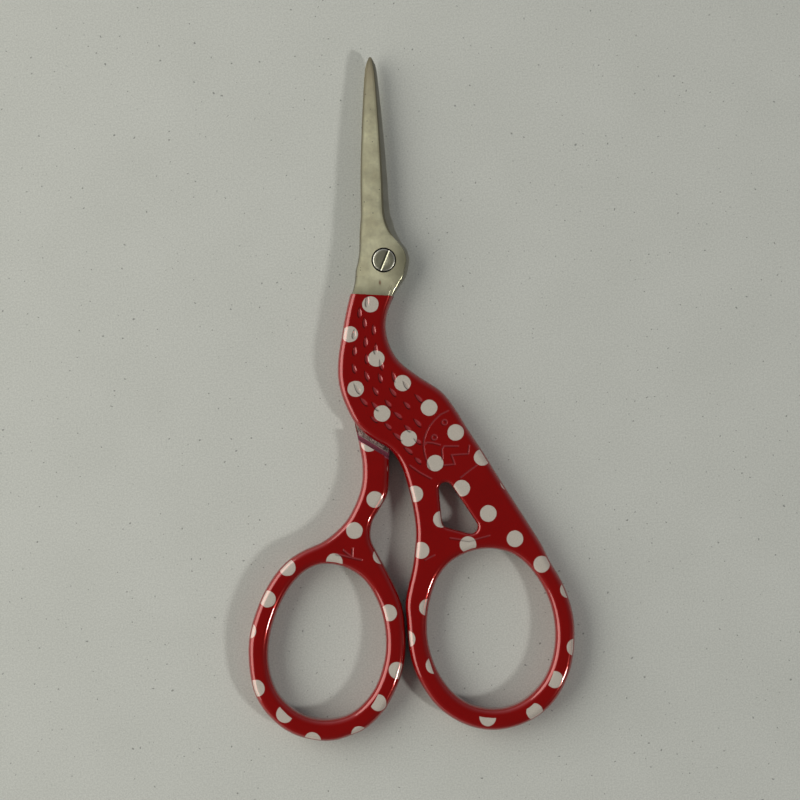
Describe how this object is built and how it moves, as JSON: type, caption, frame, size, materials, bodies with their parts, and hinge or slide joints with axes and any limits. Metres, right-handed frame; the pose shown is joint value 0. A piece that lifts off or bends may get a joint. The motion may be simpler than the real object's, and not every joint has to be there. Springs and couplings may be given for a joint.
{
  "type": "embroidery scissors",
  "caption": "Small embroidery scissors shaped like a stork: slim pointed blades as the bill, a slotted pivot screw as the eye, and coated finger loops",
  "frame": {"origin": "on the pivot axis, in the plane that the closed scissors rest on", "axes": "+Y to the tips, +X to the front half's finger loop, +Z from the resting face up through the screw's head"},
  "size_m": [0.0555, 0.1144, 0.0043],
  "materials": {
    "half_steel": "satin, hand polished, faintly warm",
    "screw_steel": "turned and bright",
    "printed_coat": "glossy dark red with off-white polka dots"
  },
  "bodies": {
    "back": {"back_half": "half_steel", "back_handle_coat": "printed_coat", "pivot_screw": "screw_steel"},
    "front": {"front_half": "half_steel", "front_handle_coat": "printed_coat"}
  },
  "joints": [
    {"name": "pivot_turn", "type": "hinge", "parent": "back", "child": "front", "pos_m": [0, 0, 0.00215], "axis": [0, 0, 1], "range_deg": [0, 60]}
  ]
}
